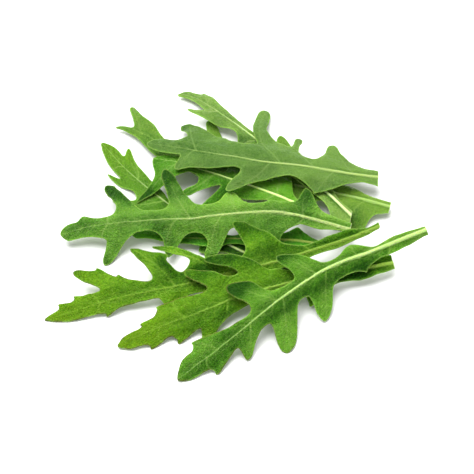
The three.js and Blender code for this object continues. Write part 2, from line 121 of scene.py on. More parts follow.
# Smaller veins leave the midrib between the lobes, and twigs leave those and the side veins.
VEIN_STEP = 0.2
VEIN_CURL = math.radians(2.2)
VEIN_TO_EDGE = 0.9
VEIN_TO_VEIN = 0.7
VEIN_LEAVES_WITHIN = 1.5
BRANCH = {
    "spacing": 4.6, "lean": math.radians(44), "longest": 15.0, "least_steps": 12,
    "clear": 1.2, "from": 0.16, "to": 0.94,
}
TWIG = {
    "spacing": 2.9, "lean": math.radians(48), "longest": 6.0, "longest_on_branch": 3.5,
    "least_steps": 5, "steps_from_end": 4, "look_ahead": 2,
}

# What chance changes: the least share, and what is added to it.
LEAN_CHANCE = (0.85, 0.3)
BRANCH_CHANCE = (0.75, 0.5)
FIRST_TWIG_CHANCE = (0.7, 0.3)
TWIG_CHANCE = (0.35, 0.3)

# How wide, how strong and how shallow each kind of vein is.
VEIN_KINDS = {
    "side": {"half": 0.38, "strength": 0.95, "shallow": 0.0},
    "branch": {"half": 0.3, "strength": 0.55, "shallow": 0.0},
    "twig": {"half": 0.26, "strength": 0.22, "shallow": 0.25},
}
VEIN_END = 0.45
NO_VEIN_NEAR = 9.0
VEIN_SINK = 0.12
VEIN_BELOW = 0.2

# Puckers between the veins, and the small cells on them.
PUCKER = {"reach": 1.5, "from_edge": 1.2}
CELL = {"share": 0.45, "top": 0.55, "fade": (0.1, 1.0), "seed": 3.7}

# Where the marks lie that the colours follow.
RIB_PALE = (0.6, 1.3)
RIB_FADE = {"starts": 0.4, "full": 0.9, "loss": 0.8}
RIM_WIDTH = 0.32
STALK_PALE = (0.1, 0.3)
# Reaches of the painted light and shade on each side and on the lobe ends.
SIDE_SHADE_REACH = (0.5, 5.0)
LOBE_END_SHADE_REACH = (4.5, 16.0)
# Painted shade beside the midrib and in the fold.
SHADE_BESIDE_RIB = {"away": 1.1, "width": 0.9, "shade": 0.25}
SHADE_IN_FOLD = {"away": 1.5, "nearer_at_tip": 0.75, "width": 0.62, "shade": 0.8}

# The skin's patterns: how many fit in a metre, how fine they are, and the values they run between.
PATCHES = {"scale": 95.0, "detail": 3.0, "rough": 0.55, "range": (0.35, 0.65), "share": 0.24}
BLOTCHES = {"scale": 420.0, "detail": 3.0, "rough": 0.55, "range": (0.3, 0.7), "share": 0.12}
MOTTLE = {"scale": 1500.0, "detail": 3.0, "rough": 0.6, "range": (0.3, 0.7), "share": 0.3}
DUST_AND_SHEEN = {"scale": 1150.0, "detail": 4.0, "rough": 0.7, "range": (0.5, 0.72)}
BURNT = {"scale": 210.0, "detail": 2.0, "rough": 0.55, "range": (0.36, 0.5)}
SHEEN = {"scale": 700.0, "detail": 2.0, "rough": 0.55, "range": (0.3, 0.7)}
NET = {"scale": 560.0, "width": 0.08, "share": 0.14}
GRAIN = {"scale": 2600.0, "detail": 2.0, "rough": 0.55, "share": 0.5, "cell": 0.3, "strength": 0.75}

# How strongly each thing shows in the colour, and over which part of the leaf or tone.
# Painted shade in the creases between puckers and painted light on their tops.
PUCKER_SHADE_SHARE = 0.41
VEIN_SHARE = 0.68
STALK_SHARE = 0.3
# How strongly the painted highlight along the edge shows.
RIM_HIGHLIGHT_SHARE = 0.36
UNDER_SHARE = 0.6
CUT_SHARE = 0.8
STALKWARD_RANGE = (0.1, 0.6)
RIPE_RANGE = (0.65, 1.0)
BURNT_ALONG = (0.5, 0.75)
DUST_AND_SHEEN_TONES = (0.0, 0.7)
SHADE_TONES = (-0.7, 0.15)
GLOSS_SPREAD = (-0.06, 0.1)

# Light goes a little way into a leaf: how much of it, its colour, and how deep in metres.
SEE_INTO = {"share": 0.65, "colour": (0.4, 0.6, 0.15), "depth": 0.0014}

# The camera, which looks down on the heap as the photographer did.
CAMERA = {
    "at": (0.0, -0.4095, 0.5794), "aim": (0.0, -0.008, 0.006), "lens": 132.9, "sensor": 36.0,
    "near": 0.01, "far": 20.0,
}

# The room: a wide soft window high above, white walls all round, and a white table.
WINDOW = {"at": (-0.2, 0.22, 0.97), "aim": (0.0, 0.0, 0.0), "size": 0.95, "power": 20.0}
ROOM_LIGHT = 0.6
TABLE = {"half": 3.0, "rough": 0.9, "shine": 0.1}
WHITE = (1.0, 1.0, 1.0, 1.0)
TABLE_WHITE = (0.92, 0.92, 0.92, 1.0)


def card(red, green, blue):
    """Colour for a shader from the three numbers, 0 to 255, of a colour card."""
    def linear(value):
        share = value / 255
        if share <= 0.04045:
            return share / 12.92
        return ((share + 0.055) / 1.055) ** 2.4
    return (linear(red), linear(green), linear(blue), 1.0)


# Colours that all leaves share. Shade is what a dark place takes from the colour under it.
UNDER_SIDE = card(140, 170, 95)
CUT_FACE = card(205, 220, 160)
# A painted highlight along the leaf's edge.
RIM_HIGHLIGHT = card(160, 200, 90)
# Pale dust on the puckers: partly waxy bloom, partly a painted sheen.
BLOOM_AND_SHEEN = card(160, 190, 110)
BROWNED = card(70, 50, 20)
RIPE = card(105, 140, 10)
SHADE = (0.22, 0.38, 0.14, 1.0)

# The leaves, from the lowest to the highest. Where a value is a pair, the first is for the far
# side, which is the one towards the back of the heap, and the second for the near side.
# waves, pucker, cell: how strongly the blade rolls and puckers, and how wide its small cells are.
# lift, fold: how far a side turns up over ten millimetres, and folds down beside the midrib, where
# it is also painted darker as painted shade.
# sides, ends, stalkward: how much lighter or darker a side and its lobe ends are painted, as painted
# light and shade, and how much lighter or darker the stalk end is.
# light_and_shade_spots: places painted lighter or darker, as painted light and painted shade, each
# with its x and y, its reach and its change.
# rib: the midrib, from the cut end to the tip.
# grain: how many of the skin's cells fit in a metre, and how high they stand in millimetres.
# gloss, shine: how rough the skin is, and how strongly it reflects.
# bloom_and_sheen, browned, ripe: the pale dust on the puckers, partly waxy bloom and partly a
# painted sheen, and the brown rim and the yellow near the tip.
LEAVES = [
    {
        "node": "leaf_left_low", "slot": "leaf_bright",
        "waves": 0.7, "pucker": 0.3, "cell": 1.6, "lift": (0.3, 0.3), "fold": (0.0, 0.0),
        "sides": (0.1, -0.1), "ends": (-0.1, -0.3), "stalkward": -0.1,
        "light_and_shade_spots": [(-41, 23, 4, 0.5), (0, -6, 9, -1.2)],
        "rib": [(25, -13.5), (3.5, -5.5), (-15, 6.5), (-27, 17.5), (-45, 36), (-56.5, 51.5)],
        "grain": (900.0, 0.18), "gloss": 0.46, "shine": 0.06,
        "bloom_and_sheen": 0.1, "browned": 0.0, "ripe": 0.3,
        "deep": card(50, 95, 12), "light": card(85, 130, 30),
        "vein": card(130, 165, 75), "midrib": card(185, 205, 135),
    },
    {
        "node": "leaf_middle_low", "slot": "leaf_deep",
        "waves": 0.7, "pucker": 0.3, "cell": 1.6, "lift": (0.2, 0.2), "fold": (0.2, 0.2),
        "sides": (0.0, 0.0), "ends": (0.0, 0.0), "stalkward": 0.0,
        "light_and_shade_spots": [(-39, 2, 4, 0.6), (-19, -2, 4, -0.6)],
        "rib": [(35.5, -1), (25.5, 0.5), (2, 0), (-20, 0.5), (-31, 2.5), (-41.5, 3.5)],
        "grain": (900.0, 0.18), "gloss": 0.5, "shine": 0.06,
        "bloom_and_sheen": 0.1, "browned": 0.0, "ripe": 0.0,
        "deep": card(50, 115, 15), "light": card(85, 160, 35),
        "vein": card(120, 170, 65), "midrib": card(150, 170, 80),
    },
    {
        "node": "leaf_right_low", "slot": "leaf_soft",
        "waves": 0.8, "pucker": 0.25, "cell": 1.6, "lift": (0.3, 0.3), "fold": (0.1, 0.1),
        "sides": (0.1, -0.1), "ends": (0.0, -0.25), "stalkward": 0.5,
        "light_and_shade_spots": [(47, 12, 4, -0.8), (46, 22, 4, 0.6), (-9, 60, 4, 0.5), (-34, 44, 4, -0.3)],
        "rib": [
            (62.5, 16.5), (49, 20.5), (25.5, 26), (5.5, 32.5), (-15.5, 40), (-28, 46.5),
            (-42.5, 56.5), (-52, 59),
        ],
        "grain": (900.0, 0.18), "gloss": 0.5, "shine": 0.08,
        "bloom_and_sheen": 0.2, "browned": 0.0, "ripe": 0.0,
        "deep": card(58, 100, 20), "light": card(100, 136, 44),
        "vein": card(124, 154, 68), "midrib": card(150, 182, 96),
    },
    {
        "node": "leaf_inner", "slot": "leaf_bright",
        "waves": 1.0, "pucker": 0.3, "cell": 1.6, "lift": (0.8, -0.5), "fold": (0.1, 0.2),
        "sides": (0.0, -0.1), "ends": (0.1, -0.4), "stalkward": 0.8,
        "light_and_shade_spots": [(-39, 21, 5, -1.2), (-5, 21, 5, -0.9)],
        "rib": [(30.5, 13), (20, 17.5), (0, 25), (-12.5, 29.5), (-24.5, 34.5), (-34.5, 37)],
        "grain": (900.0, 0.2), "gloss": 0.46, "shine": 0.05,
        "bloom_and_sheen": 0.1, "browned": 0.0, "ripe": 0.0,
        "deep": card(54, 106, 14), "light": card(90, 147, 34),
        "vein": card(130, 165, 80), "midrib": card(218, 244, 152),
    },
    {
        "node": "leaf_back", "slot": "leaf_soft",
        "waves": 0.8, "pucker": 0.22, "cell": 1.6, "lift": (0.3, 0.3), "fold": (0.0, 0.1),
        "sides": (0.1, 0.0), "ends": (0.1, -0.1), "stalkward": 0.1,
        "light_and_shade_spots": [(1, 47, 5, -0.6), (40, 18, 4, -0.4)],
        "rib": [
            (47, 9), (35, 22.5), (21.5, 34.5), (5.5, 51.5), (-4.5, 62), (-12, 69.5),
            (-16.5, 73.5), (-22, 76), (-25.5, 76),
        ],
        "grain": (900.0, 0.12), "gloss": 0.48, "shine": 0.1,
        "bloom_and_sheen": 0.25, "browned": 0.0, "ripe": 0.0,
        "deep": card(67, 104, 30), "light": card(113, 146, 62),
        "vein": card(144, 165, 94), "midrib": card(202, 225, 152),
    },
    {
        "node": "leaf_left_upper", "slot": "leaf_deep",
        "waves": 1.2, "pucker": 0.5, "cell": 1.25, "lift": (0.6, -1.2), "fold": (0.1, 0.2),
        "sides": (0.15, -0.05), "ends": (-1.3, -0.5), "stalkward": 0.0,
        "light_and_shade_spots": [
            (-2, 15, 8, 0.9), (27, 12, 5, -0.7), (-24, 21, 4, 0.6), (-45, 16, 5, -0.4),
            (-62, 8, 8, -0.4), (-12, -8, 5, 0.5), (-31, 0, 5, -0.5), (16, -3, 5, -0.5),
            (36, 1, 6, 0.6),
        ],
        "rib": [
            (45.5, 1.5), (29.5, 5), (22, 6.5), (11, 7), (-8, 5.5), (-16.5, 4.5), (-29, 4.5),
            (-50.5, 4), (-61.5, 3.5), (-70, 1.5),
        ],
        "grain": (860.0, 0.36), "gloss": 0.42, "shine": 0.08,
        "bloom_and_sheen": 0.45, "browned": 0.2, "ripe": 0.0,
        "deep": card(62, 108, 24), "light": card(105, 150, 50),
        "vein": card(132, 163, 80), "midrib": card(170, 190, 118),
    },
    {
        "node": "leaf_top", "slot": "leaf_soft",
        "waves": 0.8, "pucker": 0.24, "cell": 1.5, "lift": (0.3, -0.4), "fold": (0.0, 0.0),
        "sides": (-0.1, 0.1), "ends": (0.1, 0.1), "stalkward": 0.7,
        "light_and_shade_spots": [
            (33, 19, 4, -0.7), (43, 23, 6, -0.6), (10, 66, 5, 0.7), (-22, 57, 5, -0.4),
            (53, 31, 5, 0.4),
        ],
        "rib": [
            (57.5, 28.5), (45, 28.5), (29.5, 30), (8, 31), (-4.5, 33.5), (-12.5, 35.5),
            (-27.5, 40.5), (-37, 43.5),
        ],
        "grain": (1000.0, 0.14), "gloss": 0.56, "shine": 0.1,
        "bloom_and_sheen": 0.25, "browned": 0.1, "ripe": 0.0,
        "deep": card(52, 88, 24), "light": card(90, 124, 50),
        "vein": card(116, 145, 75), "midrib": card(158, 180, 105),
    },
    {
        "node": "leaf_front_long", "slot": "leaf_bright",
        "waves": 1.2, "pucker": 0.65, "cell": 1.7, "lift": (1.0, 0.4), "fold": (0.9, 0.0),
        "sides": (0.05, 0.15), "ends": (-0.7, 0.3), "stalkward": -0.4,
        "light_and_shade_spots": [
            (-25, -11, 4, 0.9), (-36, -11, 4, 0.5), (-28, -16, 4, -0.9), (-13, -18, 4, -0.9),
            (-22, -19, 5, -0.5), (-2, -19, 4, 0.9),
        ],
        "rib": [
            (57.5, 3), (45.5, -2.5), (34, -7), (15.5, -13.5), (-1, -18), (-17, -22.5),
            (-36, -26.5), (-48.5, -29), (-64.5, -33.5), (-75.5, -36),
        ],
        "grain": (900.0, 0.28), "gloss": 0.44, "shine": 0.05,
        "bloom_and_sheen": 0.12, "browned": 0.8, "ripe": 0.5,
        "deep": card(63, 109, 12), "light": card(107, 151, 29),
        "vein": card(140, 178, 60), "midrib": card(126, 156, 60),
    },
    {
        "node": "leaf_front_middle", "slot": "leaf_bright",
        "waves": 1.2, "pucker": 0.7, "cell": 1.7, "lift": (1.0, 0.3), "fold": (0.0, 0.7),
        "sides": (0.05, -0.1), "ends": (-1.0, 0.3), "stalkward": -0.2,
        "light_and_shade_spots": [
            (2, -33, 4, 0.6), (47, -20, 7, -1.0), (-3, -37, 4, -0.5), (-20, -20, 4, 0.5),
            (7, -16, 4, -0.4),
        ],
        "rib": [
            (62, -12.5), (34.5, -19.5), (20.5, -23), (-1.5, -30.5), (-11.5, -35), (-27, -40.5),
            (-46.5, -48),
        ],
        "grain": (900.0, 0.28), "gloss": 0.44, "shine": 0.05,
        "bloom_and_sheen": 0.1, "browned": 1.0, "ripe": 0.6,
        "deep": card(59, 104, 10), "light": card(100, 145, 25),
        "vein": card(130, 170, 58), "midrib": card(142, 176, 72),
    },
    {
        "node": "leaf_front", "slot": "leaf_deep",
        "waves": 1.1, "pucker": 0.42, "cell": 1.5, "lift": (2.2, 0.2), "fold": (0.0, 1.7),
        "sides": (0.25, 0.05), "ends": (-1.6, 0.9), "stalkward": 0.2,
        "light_and_shade_spots": [
            (-6, -46, 5, -0.5), (-3, -30, 5, -0.4), (-7, -60, 5, -0.3), (62, -10, 3, 0.5),
            (7, -48, 4, 0.4), (50, -18, 4, -0.4),
        ],
        "rib": [
            (75, -1), (52.5, -11), (40.5, -16), (33, -20), (21, -29), (0, -46.5),
            (-10.5, -54.5), (-22.5, -63),
        ],
        "grain": (920.0, 0.3), "gloss": 0.42, "shine": 0.05,
        "bloom_and_sheen": 0.3, "browned": 0.8, "ripe": 0.0,
        "deep": card(54, 102, 15), "light": card(92, 141, 38),
        "vein": card(130, 165, 75), "midrib": card(193, 223, 136),
    },
]


def ease(low, high, value):
    """0 below low, 1 above high, and a smooth step between."""
    share = np.clip((value - low) / (high - low), 0, 1)
    return share * share * (3 - 2 * share)


def by_chance(chance, least, added):
    """A share between least and least plus added."""
    return least + added * chance.random()


def smooth_route(points, step):
    """Points about one step apart on a smooth curve through the given ones."""
    points = np.array(points, float)
    ends = np.vstack([2 * points[0] - points[1], points, 2 * points[-1] - points[-2]])
    out = []
    for at in range(len(points) - 1):
        count = max(2, int(np.linalg.norm(points[at + 1] - points[at]) / step))
        out.extend(curve_part(ends[at:at + 4], np.arange(count) / count))
    out.append(points[-1])
    return np.array(out)


def curve_part(four, shares):
    """The part of a centripetal curve between the second and third of four points."""
    gaps = [max(TINY, np.linalg.norm(four[at + 1] - four[at])) ** 0.5 for at in range(3)]
    knots = np.cumsum([0.0] + gaps)
    where = knots[1] + (knots[2] - knots[1]) * np.asarray(shares)[:, None]

    def mix(first, second, low, high):
        return first + (second - first) * (where - knots[low]) / (knots[high] - knots[low])

    lines = [mix(four[at], four[at + 1], at, at + 1) for at in range(3)]
    bows = [mix(lines[at], lines[at + 1], at, at + 2) for at in range(2)]
    return mix(bows[0], bows[1], 1, 2)


def tree_of(points):
    """A search tree over flat points."""
    tree = kdtree.KDTree(len(points))
    for at, point in enumerate(points):
        tree.insert((point[0], point[1], 0.0), at)
    tree.balance()
    return tree


def nearest(tree, flat):
    """For each flat point, which point of the tree is nearest and how far away it is."""
    found = [tree.find((point[0], point[1], 0.0)) for point in flat]
    return np.array([hit[1] for hit in found]), np.array([hit[2] for hit in found])


def rolling_noise(flat, length, seed):
    """A smooth noise over flat points, whose hills are about a length apart."""
    return np.array([noise.noise(Vector((x / length, y / length, seed))) for x, y in flat])


def half_of_solid(node, facing):
    """The faces of a leaf's solid that face up (1) or down (-1), cut into a fine grid."""
    mesh = bmesh.new()
    mesh.from_mesh(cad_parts[node].data)
    bmesh.ops.scale(mesh, verts=mesh.verts, vec=(1 / MM, 1 / MM, 1 / MM))
    bmesh.ops.remove_doubles(mesh, verts=mesh.verts, dist=SAME_POINT)
    mesh.normal_update()
    rest = [face for face in mesh.faces if face.normal.z * facing < SLOPE_LEAST]
    bmesh.ops.delete(mesh, geom=rest, context="FACES")
    corners = np.array([vert.co for vert in mesh.verts])
    bmesh.ops.subdivide_edges(mesh, edges=mesh.edges[:], cuts=CUTS, use_grid_fill=True)
    mesh.verts.index_update()
    return mesh, corners, np.array([vert.co for vert in mesh.verts])


class Sheet:
    """The upper side of a leaf's solid, cut into a fine grid."""

    def __init__(self, node):
        lower, _, low_places = half_of_solid(node, -1)
        lower.free()
        self.mesh, corners, places = half_of_solid(node, 1)
        self.flat = places[:, :2].copy()
        self.solid_top = places[:, 2]
        self.solid_under = low_places[nearest(tree_of(low_places), self.flat)[0], 2]
        self.height = self.solid_top - SOLID_HALF_BLADE - SETTLE
        self.ends = np.array([[vert.index for vert in edge.verts] for edge in self.mesh.edges])
        self.degree = np.bincount(self.ends.ravel(), minlength=len(places))
        self.corner = np.zeros(len(places), bool)
        self.corner[nearest(tree_of(self.flat), corners)[0]] = True
        self.rim = self.walk_rim()
        self.inside = np.ones(len(places), bool)
        self.inside[self.rim] = False

    def walk_rim(self):
        """The edge's vertices in order, starting from a corner of the solid."""
        first = next(edge for edge in self.mesh.edges if edge.is_boundary)
        loop = [first.verts[0], first.verts[1]]
        while True:
            ahead = [
                edge.other_vert(loop[-1]) for edge in loop[-1].link_edges
                if edge.is_boundary and edge.other_vert(loop[-1]) != loop[-2]
            ]
            if ahead[0] == loop[0]:
                break
            loop.append(ahead[0])
        order = np.array([vert.index for vert in loop])
        return np.roll(order, -int(np.argmax(self.corner[order])))

    def around(self, values):
        """The mean of each vertex's neighbours."""
        first, second = self.ends.T
        total = np.bincount(first, values[second], len(values))
        total += np.bincount(second, values[first], len(values))
        return total / self.degree

    def least_around(self, values):
        """The least of each vertex and its neighbours."""
        out = values.copy()
        np.minimum.at(out, self.ends[:, 0], values[self.ends[:, 1]])
        np.minimum.at(out, self.ends[:, 1], values[self.ends[:, 0]])
        return out


def smooth_outline(points, sharp, give):
    """Fine points on a smooth line through the edge's corners, which stays sharp where it should."""
    count = len(points)
    shares = np.arange(CUTS + 1) / (CUTS + 1)
    line = []
    for at in range(count):
        four = points[[at - 1, at, (at + 1) % count, (at + 2) % count]].copy()
        if sharp[at]:
            four[0] = 2 * four[1] - four[2]
        if sharp[(at + 1) % count]:
            four[3] = 2 * four[2] - four[1]
        line.extend(curve_part(four, shares))
    line = np.array(line)
    between = give[:, None] * (1 - shares) + np.roll(give, -1)[:, None] * shares
    between = between.reshape(-1, 1)
    for _ in range(BLUNT_ROUNDS):
        middle = (np.roll(line, 1, axis=0) + np.roll(line, -1, axis=0)) / 2
        line += 0.5 * between * (middle - line)
    return line


def wander_off(line, seed):
    """Moves a closed line a little in and out along its way."""
    ahead = np.roll(line, -1, axis=0) - np.roll(line, 1, axis=0)
    ahead /= np.linalg.norm(ahead, axis=1)[:, None]
    across = np.column_stack([ahead[:, 1], -ahead[:, 0]])
    far = rolling_noise(line, WANDER["length"], seed) * WANDER["far"]
    return line + across * far[:, None]


def round_edge(sheet, cut_middle, seed):
    """Turns the edge's straight steps into a smooth, slightly wandering line."""
    points = sheet.flat[sheet.rim[sheet.corner[sheet.rim]]]
    before = points - np.roll(points, 1, axis=0)
    after = np.roll(points, -1, axis=0) - points
    crossed = before[:, 0] * after[:, 1] - before[:, 1] * after[:, 0]
    turn = np.arctan2(crossed, (before * after).sum(1))
    length = np.linalg.norm(after, axis=1)
    middles = (points + np.roll(points, -1, axis=0)) / 2
    cut = int(np.argmin(np.linalg.norm(middles - cut_middle, axis=1)))
    cut_corners = [cut, (cut + 1) % len(points)]
    sharp = np.abs(turn) > SHARP_TURN
    sharp[cut_corners] = True
    give = np.clip(np.minimum(length, np.roll(length, 1)) / BLUNT_FULL, 0, 1)
    give[cut_corners] = 0
    line = wander_off(smooth_outline(points, sharp, give), seed)
    move = np.zeros_like(sheet.flat)
    move[sheet.rim] = line - sheet.flat[sheet.rim]
    for _ in range(EDGE_ROUNDS):
        for axis in (0, 1):
            move[:, axis] = np.where(sheet.inside, sheet.around(move[:, axis]), move[:, axis])
    sheet.flat += move


def smooth_blade(sheet):
    """Takes the facets out of the blade, and keeps it close to its solid."""
    solid = sheet.height.copy()
    height = solid.copy()
    for _ in range(BLADE_ROUNDS):
        height += 0.5 * (sheet.around(height) - height)
        height = np.clip(height, solid - STRAY, solid + STRAY)
    sheet.height = height


def find_room(sheets, number):
    """How far a blade may rise and drop before it comes near its neighbours or the table."""
    sheet = sheets[number]
    ceiling = np.full(len(sheet.flat), ROOM_FREE)
    floor = np.full(len(sheet.flat), -ROOM_FREE)
    low, high = sheet.flat.min(0) - ROOM_SEEN, sheet.flat.max(0) + ROOM_SEEN
    for other_number, other in enumerate(sheets):
        if other_number == number:
            continue
        near = np.flatnonzero(((other.flat > low) & (other.flat < high)).all(1))
        if not len(near):
            continue
        at, away = nearest(tree_of(other.flat[near]), sheet.flat)
        at = near[at]
        seen = away < ROOM_SEEN
        if other_number < number:
            half_way = (other.solid_top[at] + sheet.solid_under) / 2 + ROOM_MARGIN
            floor = np.where(seen, np.maximum(floor, half_way), floor)
        else:
            half_way = (other.solid_under[at] + sheet.solid_top) / 2 - ROOM_MARGIN
            ceiling = np.where(seen, np.minimum(ceiling, half_way), ceiling)
    up = np.clip(ceiling - sheet.height - BLADE / 2, 0.0, ROOM_MOST)
    down = np.clip(sheet.height - BLADE / 2 - np.maximum(floor, 0.0), 0.0, ROOM_MOST)
    for _ in range(ROOM_SHRINK):
        up, down = sheet.least_around(up), sheet.least_around(down)
    for _ in range(ROOM_ROUNDS):
        up = np.minimum(up, sheet.around(up))
        down = np.minimum(down, sheet.around(down))
    return up, down


def fit_in(wish, up, down):
    """A rise or drop that comes close to the wished one but never uses more than the room."""
    rise = up * np.tanh(np.maximum(wish, 0) / np.maximum(up, ROOM_LEAST))
    drop = down * np.tanh(np.maximum(-wish, 0) / np.maximum(down, ROOM_LEAST))
    return rise - drop


class Plan:
    """Where each vertex of a leaf lies: along its midrib, beside it and in from its edge."""

    def __init__(self, sheet, rib):
        self.rib = smooth_route(np.array(rib, float) + PLAN_SHIFT, RIB_STEP)
        gaps = np.linalg.norm(np.diff(self.rib, axis=0), axis=1)
        self.run = np.concatenate([[0], np.cumsum(gaps)])
        self.ahead = np.gradient(self.rib, axis=0)
        self.ahead /= np.linalg.norm(self.ahead, axis=1)[:, None]
        self.rib_tree = tree_of(self.rib)
        self.at, self.away = nearest(self.rib_tree, sheet.flat)
        self.share = self.run[self.at] / self.run[-1]
        offset = sheet.flat - self.rib[self.at]
        self.side = np.sign(
            self.ahead[self.at, 0] * offset[:, 1] - self.ahead[self.at, 1] * offset[:, 0])
        self.find_cut_end(sheet)
        self.edge_tree = tree_of(sheet.flat[self.leaf_edge])
        self.inward = nearest(self.edge_tree, sheet.flat)[1]
        self.half = self.away + self.inward

    def find_cut_end(self, sheet):
        """Splits the rim into the cut end and the leaf's own edge, which runs round the tip."""
        corner_at = np.flatnonzero(sheet.corner[sheet.rim])
        corners = sheet.flat[sheet.rim[corner_at]]
        middles = (corners + np.roll(corners, -1, axis=0)) / 2
        cut = int(np.argmin(np.linalg.norm(middles - self.rib[0], axis=1)))
        rim = np.roll(sheet.rim, -int(corner_at[(cut + 1) % len(corner_at)]))
        self.leaf_edge = rim[:len(rim) - CUTS]
        self.cut_end = np.concatenate([rim[len(rim) - CUTS - 1:], rim[:1]])

    def edge_distance(self, point):
        """How far a flat point is from the leaf's edge."""
        return self.edge_tree.find((point[0], point[1], 0.0))[2]

    def by_side(self, pair):
        """The first value on the far side of the midrib and the second on the near side."""
        return np.where(self.side < 0, pair[0], pair[1])


def side_of_edge(sheet, plan, side):
    """The edge on one side of the midrib, from the stalk to the tip."""
    edge = plan.leaf_edge
    tip = int(np.argmin(np.linalg.norm(sheet.flat[edge] - plan.rib[-1], axis=1)))
    first, second = edge[:tip + 1], edge[tip:][::-1]
    for half in (first, second):
        if np.sign(plan.side[half].sum()) == side:
            return sheet.flat[half], plan.away[half]
    return sheet.flat[first], plan.away[first]


def find_lobes(points, away):
    """The lobes of one side: each one's tip and the notches before and after it."""
    step = np.linalg.norm(np.diff(points, axis=0), axis=1)
    run = np.concatenate([[0], np.cumsum(step)])
    peaks = []
    for at in range(1, len(points) - 1):
        highest = away[at] >= away[np.abs(run - run[at]) < LOBE_WINDOW].max()
        if highest and (not peaks or run[at] - run[peaks[-1]] > LOBE_WINDOW):
            peaks.append(at)
    while peaks:
        stops = [0] + peaks + [len(points) - 1]
        notches = []
        for first, last in zip(stops, stops[1:]):
            notches.append(first + int(np.argmin(away[first:last + 1])))
        lobes = list(zip(peaks, notches, notches[1:]))
        rises = [away[peak] - max(away[before], away[after]) for peak, before, after in lobes]
        least = int(np.argmin(rises))
        if rises[least] > LOBE_LEAST:
            return [(points[peak], points[before], points[after]) for peak, before, after in lobes]
        peaks.pop(least)
    return []


def lobe_vein(plan, tip, notch_before, notch_after):
    """The side vein of a lobe: from the midrib through the lobe's root to near its tip."""
    root = (notch_before + notch_after) / 2
    _, at, root_away = plan.rib_tree.find((root[0], root[1], 0.0))
    start_run = max(0.0, plan.run[at] - LOBE_VEIN_BACK * root_away)
    start = plan.rib[int(np.argmin(np.abs(plan.run - start_run)))]
    end = root + (tip - root) * LOBE_REACH
    lengths = (np.linalg.norm(root - start), np.linalg.norm(end - root))
    share = float(np.clip(lengths[0] / max(TINY, sum(lengths)), *LOBE_VEIN_BEND))
    pull = (root - (1 - share) ** 2 * start - share ** 2 * end) / (2 * share * (1 - share))
    count = max(LOBE_VEIN_STEPS, int(sum(lengths) / VEIN_STEP))
    where = np.linspace(0, 1, count)[:, None]
    return (1 - where) ** 2 * start + 2 * where * (1 - where) * pull + where ** 2 * end


def grow_vein(plan, start, heading, curl, longest, taken):
    """A vein that runs on until it comes near the edge or another vein."""
    points = [np.array(start, float)]
    while len(points) * VEIN_STEP < longest:
        step = np.array([math.cos(heading), math.sin(heading)]) * VEIN_STEP
        point = points[-1] + step
        if plan.edge_distance(point) < VEIN_TO_EDGE:
            break
        leaving = len(points) * VEIN_STEP < VEIN_LEAVES_WITHIN
        if taken and not leaving and taken.find((point[0], point[1], 0.0))[2] < VEIN_TO_VEIN:
            break
        points.append(point)
        heading += curl
    return np.array(points)


def grow_twigs(plan, vein, longest, taken, chance):
    """Smaller veins that leave a vein on both sides by turns."""
    twigs = []
    run = TWIG["spacing"] * by_chance(chance, *FIRST_TWIG_CHANCE)
    side = chance.choice((-1, 1))
    while run < (len(vein) - TWIG["steps_from_end"]) * VEIN_STEP:
        at = int(run / VEIN_STEP)
        behind = max(at - TWIG["look_ahead"], 0)
        beyond = min(at + TWIG["look_ahead"], len(vein) - 1)
        ahead = vein[beyond] - vein[behind]
        lean = side * TWIG["lean"] * by_chance(chance, *LEAN_CHANCE)
        heading = math.atan2(ahead[1], ahead[0]) + lean
        made = grow_vein(plan, vein[at], heading, -side * VEIN_CURL, longest, taken)
        if len(made) > TWIG["least_steps"]:
            twigs.append(made)
        side = -side
        run += TWIG["spacing"] * by_chance(chance, *TWIG_CHANCE)
    return twigs


def grow_branches(plan, taken, chance):
    """The veins that leave the midrib between the lobes."""
    starts = []
    for side in (-1, 1):
        run = BRANCH["from"] * plan.run[-1]
        while run < BRANCH["to"] * plan.run[-1]:
            starts.append((run, side))
            run += BRANCH["spacing"] * by_chance(chance, *BRANCH_CHANCE)
    veins = []
    for run, side in starts:
        at = int(np.argmin(np.abs(plan.run - run)))
        lean = BRANCH["lean"] * by_chance(chance, *LEAN_CHANCE)
        heading = math.atan2(plan.ahead[at, 1], plan.ahead[at, 0]) + side * lean
        made = grow_vein(plan, plan.rib[at], heading, -side * VEIN_CURL, BRANCH["longest"], taken)
        middle = made[len(made) // 2]
        clear = taken is None or taken.find((*middle, 0.0))[2] > BRANCH["clear"]
        if len(made) > BRANCH["least_steps"] and clear:
            veins.append(made)
    return veins


def draw_veins(sheet, plan, seed):
    """All the side veins of a leaf, by kind."""
    chance = random.Random(seed)
    sides = []
    for side in (-1, 1):
        for tip, before, after in find_lobes(*side_of_edge(sheet, plan, side)):
            sides.append(lobe_vein(plan, tip, before, after))
    taken = tree_of(np.vstack(sides)) if sides else None
    branches = grow_branches(plan, taken, chance)
    for vein in sides:
        branches += grow_twigs(plan, vein, TWIG["longest"], None, chance)
    taken = tree_of(np.vstack(sides + branches))
    twigs = []
    for vein in branches:
        twigs += grow_twigs(plan, vein, TWIG["longest_on_branch"], taken, chance)
    return {"side": sides, "branch": branches, "twig": twigs}


def vein_marks(sheet, veins):
    """How strongly each vertex is on a vein, and how far it is from the nearest one."""
    mark = np.zeros(len(sheet.flat))
    clear = np.full(len(sheet.flat), NO_VEIN_NEAR)
    for kind, found in veins.items():
        if not found:
            continue
        look = VEIN_KINDS[kind]
        fade = np.concatenate([np.linspace(1, VEIN_END, len(vein)) for vein in found])
        at, away = nearest(tree_of(np.vstack(found)), sheet.flat)
        half = look["half"] * (0.5 + 0.5 * fade[at])
        mark = np.maximum(mark, look["strength"] * fade[at] * np.exp(-(away / half) ** 2))
        clear = np.minimum(clear, away + look["shallow"])
    return mark, clear


